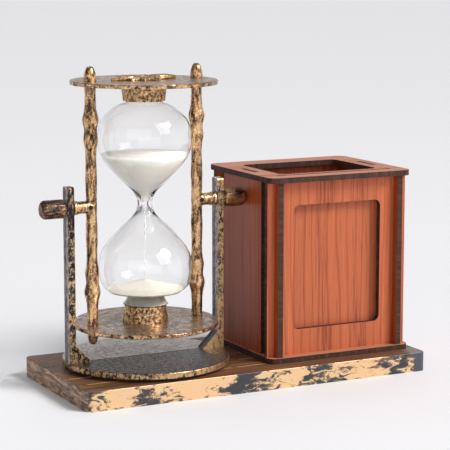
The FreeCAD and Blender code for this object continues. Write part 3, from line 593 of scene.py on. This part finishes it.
def joined(pieces, name):
    """Join pieces into one object."""
    nothing_selected()
    for piece in pieces:
        piece.select_set(True)
    bpy.context.view_layer.objects.active = pieces[0]
    bpy.ops.object.join()
    pieces[0].name = name
    return pieces[0]


def settled(piece):
    """Put a finished piece's place into its mesh."""
    only(piece)
    bpy.ops.object.transform_apply(location=True, rotation=True, scale=True)


def copied(piece, name):
    """A copy of a piece with its own mesh."""
    twin = piece.copy()
    twin.data = piece.data.copy()
    twin.name = name
    bpy.context.scene.collection.objects.link(twin)
    return twin


def mirrored_over_pivot(piece, name, axis):
    """A mirrored copy of a piece on the other side of the pivot, with its faces turned outwards."""
    twin = copied(piece, name)
    only(twin)
    bpy.ops.object.mode_set(mode="EDIT")
    bpy.ops.mesh.select_all(action="SELECT")
    bpy.ops.transform.resize(value=scale_along(axis, -1.0), center_override=PIVOT)
    faces_outwards()
    return twin


def lump_texture(name, size_mm):
    """Soft lumps for cast surfaces."""
    texture = bpy.data.textures.new(name, "CLOUDS")
    texture.noise_scale = size_mm * MM
    texture.noise_depth = 2
    return texture


def cast_skin(piece, voxel_mm, height, texture, angle=40):
    """Melt joined shapes into one cast skin and give it an uneven surface."""
    modify(piece, "REMESH", mode="VOXEL", voxel_size=voxel_mm * MM, adaptivity=0.0, use_smooth_shade=True)
    modify(piece, "SMOOTH", factor=0.5, iterations=3)
    modify(piece, "DISPLACE", texture=texture, texture_coords="LOCAL", strength=height, mid_level=0.5)
    smoothed(piece, angle)


def scaled(stations, length, radius=1.0):
    """Stations given as shares of a length and of a radius."""
    return [(share * length, wide * radius) for share, wide in stations]


# ------------------------------------------------------------------ operators

class HOURGLASS_OT_stage(bpy.types.Operator):
    """Lay the pale floor, hang the soft lights and set the camera"""

    bl_idname = "hourglass.stage"
    bl_label = "Stage"

    def execute(self, context):
        stage = context.scene.hourglass_stage
        nothing_selected()
        bpy.ops.mesh.primitive_plane_add(size=60.0, location=(0, 20, 0))
        floor = bpy.context.object
        floor.name = "floor"
        material, _, surface = blank_material("paper_floor_matt")
        surface.inputs["Base Color"].default_value = tuple(stage.floor)
        surface.inputs["Roughness"].default_value = 0.9
        surface.inputs["Specular IOR Level"].default_value = 0.1
        floor.data.materials.append(material)

        world = bpy.data.worlds.new("soft surroundings")
        world.use_nodes = True
        world.node_tree.nodes.clear()
        # Bright near the horizon like a lit backdrop, dim overhead.
        way = add(world.node_tree, "ShaderNodeTexCoord").outputs["Generated"]
        height = add(world.node_tree, "ShaderNodeSeparateXYZ", {0: way}).outputs["Z"]
        glow = add(world.node_tree, "ShaderNodeMapRange", {
            "Value": height, "From Min": 0.0, "From Max": 0.55,
            "To Min": 4.0 * stage.sky, "To Max": 0.5 * stage.sky}, interpolation_type="SMOOTHSTEP").outputs[0]
        sky = add(world.node_tree, "ShaderNodeBackground", {"Color": srgb("f4f6fa"), "Strength": glow})
        add(world.node_tree, "ShaderNodeOutputWorld", {"Surface": sky.outputs[0]})
        context.scene.world = world

        for name, strength, spread, height, bearing in (
                ("key", stage.sun, 24.0, 41.0, 44.0), ("back", stage.sun * 0.25, 50.0, 66.0, 160.0)):
            lamp = bpy.data.lights.new(name, "SUN")
            lamp.energy = strength
            lamp.angle = math.radians(spread)
            lit = bpy.data.objects.new(name, lamp)
            lit.rotation_euler = (math.radians(90 - height), 0, math.radians(bearing))
            context.scene.collection.objects.link(lit)

        for name, watts, size, place, tilt, bearing in (
                ("softbox", 13.0, (1.2, 1.6), (0.9, -1.7, 1.24), 58, 30),
                ("fill", 11.0, (3.0, 1.5), (-1.6, -2.0, 0.86), 76, -38)):
            lamp = bpy.data.lights.new(name, "AREA")
            lamp.energy = watts
            lamp.shape = "RECTANGLE"
            lamp.size, lamp.size_y = size
            lit = bpy.data.objects.new(name, lamp)
            lit.location = place
            lit.rotation_euler = (math.radians(tilt), 0, math.radians(bearing))
            context.scene.collection.objects.link(lit)

        camera = bpy.data.cameras.new("camera")
        camera.lens = stage.lens
        camera.sensor_width = 36.0
        camera.clip_start = 0.05
        camera.clip_end = 100.0
        holder = bpy.data.objects.new("camera", camera)
        look_down, roll, bearing = 8.88, 0.01, -26.85
        holder.location = (-0.4334, -0.8545, 0.2333)
        holder.rotation_euler = (math.radians(90 - look_down), math.radians(roll), math.radians(bearing))
        context.scene.collection.objects.link(holder)
        context.scene.camera = holder
        context.scene.view_settings.view_transform = "Standard"
        return {"FINISHED"}


class HOURGLASS_OT_base(bpy.types.Operator):
    """Paint the base board and its pad"""

    bl_idname = "hourglass.base"
    bl_label = "Base board"

    def execute(self, context):
        dress(painted_board(context.scene.hourglass_base), "base_board")
        dress(moulded_rubber(), "stand_pad")
        return {"FINISHED"}


class HOURGLASS_OT_stand(bpy.types.Operator):
    """Finish the two halves of the stand"""

    bl_idname = "hourglass.stand"
    bl_label = "Stand"

    def execute(self, context):
        # One cast finish in two copies: the front half's level tops are drawn dark grey, painted shade under
        # the cage's lower disc, and the rear half's are drawn pale, a painted sheen. Both halves turn more
        # gold towards +X, painted light from the key light's side.
        front = cast_bronze(
            "dark_bronze_cast_front", srgb("cfaa7c"), srgb("4a3f38"), srgb("232125"),
            1.9, (1.0, 1.0, 0.6), -0.14, 0.34, 0.5, flat=(srgb("474343"), srgb("9b928d")),
            side=(srgb("605861"), srgb("b5abad")), rise=0.06, rightwards=0.07)
        dress(front, "stand_front_half")
        rear = cast_bronze(
            "dark_bronze_cast_rear", srgb("b08f66"), srgb("544a46"), srgb("2a272b"),
            2.2, (1.0, 1.0, 0.6), -0.1, 0.3, 0.35, flat=(srgb("b8aaa4"), srgb("eee2dc")),
            side=(srgb("3f3a3f"), srgb("7d7472")), rise=0.05, rightwards=0.03)
        dress(rear, "stand_rear_half")
        return {"FINISHED"}


class HOURGLASS_OT_cage_finish(bpy.types.Operator):
    """Finish the discs, collars and pivot pieces of the cage"""

    bl_idname = "hourglass.cage_finish"
    bl_label = "Discs, collars and pivots"

    def execute(self, context):
        cage = context.scene.hourglass_cage
        # The discs' level faces take paler grey tones: painted sheen from the bright surroundings.
        disc = cage_bronze(cage, "antique_bronze_cast_disc", 3.0, (1, 1, 1), 0.15, 0.25, 0.2,
                           flat=(srgb("97816f"), srgb("dcc3ad")))
        dress(disc, "top_disc", "bottom_disc")
        collar = cage_bronze(cage, "antique_bronze_turned_collar", 1.6, (1, 1, 0.8), 0.14, 0.34)
        dress(collar, "top_collar", "bottom_collar")
        ring = cage_bronze(cage, "antique_bronze_turned_washer", 1.8, (1, 1, 1), 0.6, 0.28)
        dress(ring, "left_washer", "right_washer")
        steel = turned_steel("mild_steel_turned_pin", srgb("b9b4ac"), 0.25)
        dress(steel, "left_pivot_pin", "right_pivot_pin")
        dress(turned_steel("black_oxide_steel_screw", srgb("4a4543"), 0.4), "grub_screws")
        return {"FINISHED"}


class HOURGLASS_OT_rods(bpy.types.Operator):
    """Model the two knotted rods with their arms"""

    bl_idname = "hourglass.rods"
    bl_label = "Rods"

    def execute(self, context):
        cage = context.scene.hourglass_cage
        r, k = cage.rod_radius, cage.knot
        half = ((0.0, r + 0.1 * k), (0.1, r - 0.15 * k), (0.22, r + 0.35 * k), (0.37, r - 0.2 * k),
                (0.475, r), (0.53, r + 0.55 * k), (0.562, r + 0.85 * k), (0.6, r + 0.4 * k),
                (0.645, r + 0.25 * k), (0.685, r + 0.9 * k), (0.722, r + 1.25 * k),
                (0.765, r + 0.55 * k), (0.82, r), (0.93, r - 0.05 * k), (0.992, r), (1.0, r), (1.006, r))
        stations = [(-s, w) for s, w in half[:0:-1]] + list(half)
        axis = PIVOT + Vector((ROD_OFFSET, 0, 0))
        rod = raised_post("right_knotted_rod", axis, scaled(stations, DISC_FACE), 16)
        reach = ARM_END - ROD_OFFSET
        arm_radius = (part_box("right_washer")[1].z - PIVOT.z) * 0.85
        arm = raised_post("arm", axis, (
            (0.0, arm_radius * 0.6), (0.3 * MM, arm_radius), (reach - 1.4 * MM, arm_radius),
            (reach - 1.3 * MM, arm_radius + 0.35 * MM), (reach - 0.2 * MM, arm_radius + 0.35 * MM),
            (reach, arm_radius + 0.1 * MM)), 24, along="X")
        modify(rod, "SUBSURF", levels=2, render_levels=2)
        rod = joined([rod, arm], "right_knotted_rod")
        cast_skin(rod, 0.3, cage.hammering, lump_texture("rod lumps", 2.4))
        # The screw hole is drilled from the front.
        screw_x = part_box("grub_screws")[1].x - 1.25 * MM
        nothing_selected()
        bpy.ops.mesh.primitive_cylinder_add(
            vertices=20, radius=1.32 * MM, depth=5.0 * MM,
            location=(screw_x, PIVOT.y - 4.9 * MM, PIVOT.z), rotation=(math.pi / 2, 0, 0))
        drill = bpy.context.object
        settled(drill)
        modify(rod, "BOOLEAN", operation="DIFFERENCE", object=drill, solver="EXACT")
        bpy.data.objects.remove(drill)
        finish = cage_bronze(cage, "antique_bronze_cast_rod", 2.3, (1.0, 1.0, 0.36), 0.16, 0.26, 0.55)
        rod.data.materials.clear()
        rod.data.materials.append(finish)
        settled(rod)
        twin = mirrored_over_pivot(rod, "left_knotted_rod", "X")
        for piece, node_name in ((rod, "right_rod"), (twin, "left_rod")):
            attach(piece, "rotor")
            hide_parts(node_name)
        return {"FINISHED"}


class HOURGLASS_OT_finials(bpy.types.Operator):
    """Model the bullet-shaped finials on top and the blunt cones below"""

    bl_idname = "hourglass.finials"
    bl_label = "Finials"

    def execute(self, context):
        cage = context.scene.hourglass_cage
        r = cage.rod_radius + 0.35 * MM
        foot = PIVOT + Vector((ROD_OFFSET, 0, DISC_TOP))
        finish = cage_bronze(cage, "antique_bronze_cast_finial", 2.0, (1.0, 1.0, 0.6), 0.15, 0.28)
        made = []
        for name, shape in (
                ("bullet", ((-0.03, 0.93), (0.0, 0.97), (0.06, 1.0), (0.25, 1.0), (0.5, 0.93), (0.72, 0.78),
                            (0.87, 0.62), (0.965, 0.45), (0.988, 0.25), (0.99, 0.1))),
                ("cone", ((-0.03, 0.93), (0.0, 0.97), (0.08, 1.0), (0.3, 0.95), (0.55, 0.83), (0.82, 0.66),
                          (0.94, 0.56), (0.975, 0.44), (0.988, 0.3), (0.99, 0.1)))):
            tip = raised_post("top_right_%s_finial" % name, foot, scaled(shape, FINIAL_LENGTH, r), 16)
            modify(tip, "SUBSURF", levels=2, render_levels=2)
            modify(tip, "DISPLACE", texture=lump_texture("finial lumps", 2.0), texture_coords="LOCAL",
                   strength=0.2 * MM, mid_level=0.6)
            smoothed(tip, 50)
            tip.data.materials.append(finish)
            settled(tip)
            made.append(tip)
        tip, cone = made
        left = mirrored_over_pivot(tip, "top_left_cast_finial", "X")
        low_right = mirrored_over_pivot(cone, "bottom_right_cast_finial", "Z")
        low_left = mirrored_over_pivot(low_right, "bottom_left_cast_finial", "X")
        bpy.data.objects.remove(cone)
        for piece, node_name in ((tip, "top_right_finial"), (left, "top_left_finial"),
                                 (low_right, "bottom_right_finial"), (low_left, "bottom_left_finial")):
            piece.name = node_name.replace("_finial", "_cast_finial")
            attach(piece, "rotor")
            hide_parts(node_name)
        return {"FINISHED"}


class HOURGLASS_OT_knobs(bpy.types.Operator):
    """Model the two twelve-sided knobs"""

    bl_idname = "hourglass.knobs"
    bl_label = "Knobs"

    def execute(self, context):
        r = (KNOB_HIGH.z - KNOB_LOW.z) / 2
        length = KNOB_HIGH.x - KNOB_LOW.x
        foot = Vector((KNOB_LOW.x, PIVOT.y, PIVOT.z))
        knob = raised_post("right_faceted_knob", foot, (
            (0.0, r * 0.66), (0.7 * MM, r * 0.66), (0.75 * MM, r * 0.88), (1.35 * MM, r),
            (length - 1.7 * MM, r), (length - 0.5 * MM, r * 0.8), (length, r * 0.62)), 12, along="X")
        modify(knob, "BEVEL", width=0.16 * MM, segments=1, limit_method="ANGLE",
               angle_limit=math.radians(20))
        # The right knob comes out more gold than the left: painted light on the side the key light comes
        # from.
        knob.data.materials.append(cast_bronze(
            "gunmetal_bronze_machined_knob", srgb("b58a5c"), srgb("5d4a40"), srgb("2a262b"),
            2.2, (0.35, 1.0, 1.0), -0.1, 0.3, 0.2, rightwards=0.07))
        settled(knob)
        twin = mirrored_over_pivot(knob, "left_faceted_knob", "X")
        for piece in (knob, twin):
            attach(piece, "rotor")
            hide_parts(piece.name.replace("_faceted", ""))
        return {"FINISHED"}


def leaf_blade(name, length, width, rise):
    """A pointed leaf with a raised midrib and side veins, lying along X from the origin."""
    nothing_selected()
    columns, rows = 14, 8
    bpy.ops.mesh.primitive_grid_add(x_subdivisions=columns, y_subdivisions=rows, size=1.0)
    blade = bpy.context.object
    blade.name = name
    blade.scale = (length, width, 1.0)
    blade.location = (length / 2, 0, 0)
    bpy.ops.object.transform_apply(location=True, rotation=True, scale=True)
    bpy.ops.object.mode_set(mode="EDIT")
    for column in range(columns + 1):
        x = length * column / columns
        along = column / columns
        pick(blade, lambda v: abs(v.co.x - x) < 0.2 * length / columns)
        spread = max(0.05, math.sin(math.pi * along ** 0.85) ** 0.8)
        bpy.ops.transform.resize(value=(1, spread, 1), center_override=(x, 0, 0))
        bpy.ops.transform.translate(value=(0, 0, rise * math.sin(math.pi * (0.12 + 0.8 * along))))
        if column % 2:
            bpy.ops.transform.translate(value=(0, 0, 0.22 * MM))
    pick(blade, lambda v: abs(v.co.y) < 0.01 * width)
    bpy.ops.transform.translate(value=(0, 0, 0.55 * MM))
    bpy.ops.object.mode_set(mode="OBJECT")
    modify(blade, "SOLIDIFY", thickness=rise + 0.6 * MM, offset=-1.0)
    modify(blade, "SUBSURF", levels=1, render_levels=1)
    return blade


class HOURGLASS_OT_ornaments(bpy.types.Operator):
    """Model the spray of leaves on each disc"""

    bl_idname = "hourglass.ornaments"
    bl_label = "Leaf ornaments"

    def execute(self, context):
        cage = context.scene.hourglass_cage
        long_leaf = leaf_blade("long leaf", cage.leaf_length, cage.leaf_length * 0.46, 1.5 * MM)
        short_leaf = leaf_blade("short leaf", cage.leaf_length * 0.62, cage.leaf_length * 0.3, 1.2 * MM)
        middle_top = PIVOT + Vector((0, 0, DISC_TOP))
        spray = []
        for source, angles, lift in ((long_leaf, (4, 184), 0.9), (short_leaf, (68, 112, 248, 292), 0.5),
                                     (short_leaf, (33, 213), 0.3)):
            for angle in angles:
                leaf = copied(source, "leaf")
                leaf.rotation_euler = (0, 0, math.radians(angle))
                leaf.location = middle_top + Vector((0, 0, lift * MM))
                settled(leaf)
                spray.append(leaf)
        bpy.data.objects.remove(long_leaf)
        bpy.data.objects.remove(short_leaf)
        berry = raised_post("berry", middle_top, (
            (-0.1 * MM, 3.4 * MM), (0.6 * MM, 3.4 * MM), (1.8 * MM, 2.9 * MM), (2.5 * MM, 1.9 * MM),
            (2.9 * MM, 0.7 * MM)), 16)
        ornament = joined([berry] + spray, "top_leaf_spray")
        cast_skin(ornament, 0.28, 0.15 * MM, lump_texture("leaf lumps", 1.6), 60)
        only(ornament)
        bpy.ops.object.mode_set(mode="EDIT")
        seat = middle_top - Vector((0, 0, 0.1 * MM))
        pick(ornament, lambda v: v.co.z < seat.z)
        bpy.ops.transform.resize(value=(1, 1, 0.03), center_override=seat)
        faces_outwards()
        ornament.data.materials.clear()
        ornament.data.materials.append(cage_bronze(
            cage, "antique_bronze_cast_leaf", 2.2, (1.0, 1.0, 1.0), 0.4, 0.3))
        settled(ornament)
        low = mirrored_over_pivot(ornament, "bottom_leaf_spray", "Z")
        for piece, node_name in ((ornament, "top_ornament"), (low, "bottom_ornament")):
            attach(piece, "rotor")
            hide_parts(node_name)
        return {"FINISHED"}


def outer_rings(node_name, spacing):
    """Heights above the pivot and radii of a turned CAD piece's outside, from its own mesh."""
    mesh = frame["nodes"][node_name].data
    rings = {}
    for face in mesh.polygons:
        centre = face.center - PIVOT
        if face.normal.xy.dot(centre.xy) > 0.02 * centre.xy.length:
            for index in face.vertices:
                point = mesh.vertices[index].co - PIVOT
                rings[round(point.z / spacing)] = (point.z, point.xy.length)
    return [rings[key] for key in sorted(rings)]


def bore_rings(rings, wall, pinch):
    """The inside of a blown vessel: its wall, and the extra glass that narrows the throat."""
    return [(z, r - wall - pinch * math.exp(-(z / (5.0 * MM)) ** 2)) for z, r in rings]


class HOURGLASS_OT_glass(bpy.types.Operator):
    """Model the glass vessel as one blown shell, open at both necks"""

    bl_idname = "hourglass.glass"
    bl_label = "Glass"

    def execute(self, context):
        glass = context.scene.hourglass_glass
        rings = outer_rings("glass_vessel", RING_SPACING)
        outside = raised_post("outside", PIVOT, rings, 72)
        inside = raised_post("inside", PIVOT, bore_rings(rings, glass.wall, glass.pinch), 72)
        only(inside)
        bpy.ops.object.mode_set(mode="EDIT")
        bpy.ops.mesh.select_all(action="SELECT")
        bpy.ops.mesh.flip_normals()
        vessel = joined([outside, inside], "blown_glass_vessel")
        low, high = PIVOT.z + rings[0][0], PIVOT.z + rings[-1][0]
        bpy.ops.object.mode_set(mode="EDIT")
        pick(vessel, lambda f: len(f.vertices) > 4, "FACE")
        bpy.ops.mesh.delete(type="FACE")
        for end in (low, high):
            pick(vessel, lambda v: abs(v.co.z - end) < 0.01 * MM)
            bpy.ops.mesh.select_mode(type="EDGE")
            bpy.ops.mesh.bridge_edge_loops()
        smoothed(vessel, 50)
        vessel.data.materials.append(blown_glass())
        vessel.visible_shadow = False
        settled(vessel)
        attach(vessel, "rotor")
        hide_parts("glass_vessel")
        return {"FINISHED"}


class HOURGLASS_OT_sand(bpy.types.Operator):
    """Pour the sand into both bulbs and finish the stream and the stoppers"""

    bl_idname = "hourglass.sand"
    bl_label = "Sand"

    def execute(self, context):
        glass = context.scene.hourglass_glass
        inner = bore_rings(outer_rings("glass_vessel", RING_SPACING), glass.wall + 0.03 * MM, glass.pinch)
        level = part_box("upper_sand")[1].z - PIVOT.z
        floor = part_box("lower_sand")[0].z - PIVOT.z
        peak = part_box("lower_sand")[1].z - PIVOT.z
        mound = 5.0 * MM
        edge = peak - mound
        body = [(z, r) for z, r in inner if -0.2 * MM < z < level]
        rim = body[-1][1]
        body += [(level, rim), (level - 0.1 * MM, rim * 0.97), (level - 0.8 * MM, rim * 0.6),
                 (level - 1.7 * MM, rim * 0.2), (level - 1.8 * MM, rim * 0.04)]
        upper = raised_post("upper_sand_fill", PIVOT, body, 64)
        heap = [(z, r) for z, r in inner if floor < z < edge]
        rim = heap[-1][1]
        heap += [(edge + 0.1 * MM, rim * 0.985), (edge + 1.7 * MM, rim * 0.66), (edge + 3.6 * MM, rim * 0.3),
                 (peak - 0.3 * MM, rim * 0.1), (peak, rim * 0.03)]
        lower = raised_post("lower_sand_fill", PIVOT, heap, 64)
        sand = dusty_sand("quartz_sand_washed", srgb("f4f1ea"), srgb("e6e1d6"))
        # The same sand for the lower bulb, drawn darker: painted shade that tones down its brightly lit top.
        painted_shade_sand = dusty_sand("quartz_sand_settled", srgb("b9b4a9"), srgb("a7a092"))
        for piece, node_name, finish in ((upper, "upper_sand", sand), (lower, "lower_sand", painted_shade_sand)):
            modify(piece, "DISPLACE", texture=lump_texture("sand drifts", 5.0), texture_coords="LOCAL",
                   strength=0.05 * MM, mid_level=1.0)
            smoothed(piece, 30)
            piece.data.materials.append(finish)
            settled(piece)
            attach(piece, "rotor")
            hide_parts(node_name)
        dress(thin_stream(sand), "falling_sand")
        dress(moulded_rubber(), "top_stopper", "bottom_stopper")
        return {"FINISHED"}


class HOURGLASS_OT_pen_holder(bpy.types.Operator):
    """Veneer the boards of the pen holder"""

    bl_idname = "hourglass.pen_holder"
    bl_label = "Pen holder"

    def execute(self, context):
        holder = context.scene.hourglass_holder
        upright = cherry_veneer("cherry_veneer_board_front", "Y", "Z", holder, (1.0, 0.93, 0.84))
        dress(upright, "box_front_panel", "box_photo_backing", "box_rear_wall")
        # The boards facing across X are tinted darker and redder: painted shade.
        side = cherry_veneer("cherry_veneer_board_side", "X", "Z", holder, (0.68, 0.44, 0.26))
        dress(side, "box_left_wall", "box_right_wall", "box_left_cladding", "box_right_cladding")
        # The level boards are tinted paler and pinker: painted sheen from the bright surroundings.
        flat = cherry_veneer("cherry_veneer_board_flat", "Z", "X", holder, (1.18, 1.8, 2.5))
        dress(flat, "box_lid", "box_bottom_plate")
        return {"FINISHED"}


class HOURGLASS_PT_panel(bpy.types.Panel):
    """Settings and steps of the hourglass"""

    bl_idname = "HOURGLASS_PT_panel"
    bl_label = "Hourglass"
    bl_space_type = "VIEW_3D"
    bl_region_type = "UI"
    bl_category = "Hourglass"

    def draw(self, context):
        layout = self.layout
        for group_name, kind in GROUPS:
            box = layout.box()
            box.label(text=kind.__doc__)
            for name in kind.__annotations__:
                box.prop(getattr(context.scene, group_name), name)
        for step in STEPS:
            layout.operator(step.bl_idname)


STEPS = (
    HOURGLASS_OT_stage, HOURGLASS_OT_base, HOURGLASS_OT_stand, HOURGLASS_OT_cage_finish,
    HOURGLASS_OT_rods, HOURGLASS_OT_finials, HOURGLASS_OT_knobs, HOURGLASS_OT_ornaments,
    HOURGLASS_OT_glass, HOURGLASS_OT_sand, HOURGLASS_OT_pen_holder,
)
GROUPS = (
    ("hourglass_stage", StageSettings), ("hourglass_cage", CageSettings),
    ("hourglass_glass", GlassSettings),
    ("hourglass_holder", HolderSettings), ("hourglass_base", BaseSettings),
)


def register():
    for name, group in GROUPS:
        bpy.utils.register_class(group)
        setattr(bpy.types.Scene, name, bpy.props.PointerProperty(type=group))
    for step in STEPS:
        bpy.utils.register_class(step)
    bpy.utils.register_class(HOURGLASS_PT_panel)


def unregister():
    bpy.utils.unregister_class(HOURGLASS_PT_panel)
    for step in reversed(STEPS):
        bpy.utils.unregister_class(step)
    for name, group in reversed(GROUPS):
        delattr(bpy.types.Scene, name)
        bpy.utils.unregister_class(group)


def main():
    register()
    for step in STEPS:
        family, name = step.bl_idname.split(".")
        getattr(getattr(bpy.ops, family), name)()
    nothing_selected()


if __name__ == "__main__":
    main()
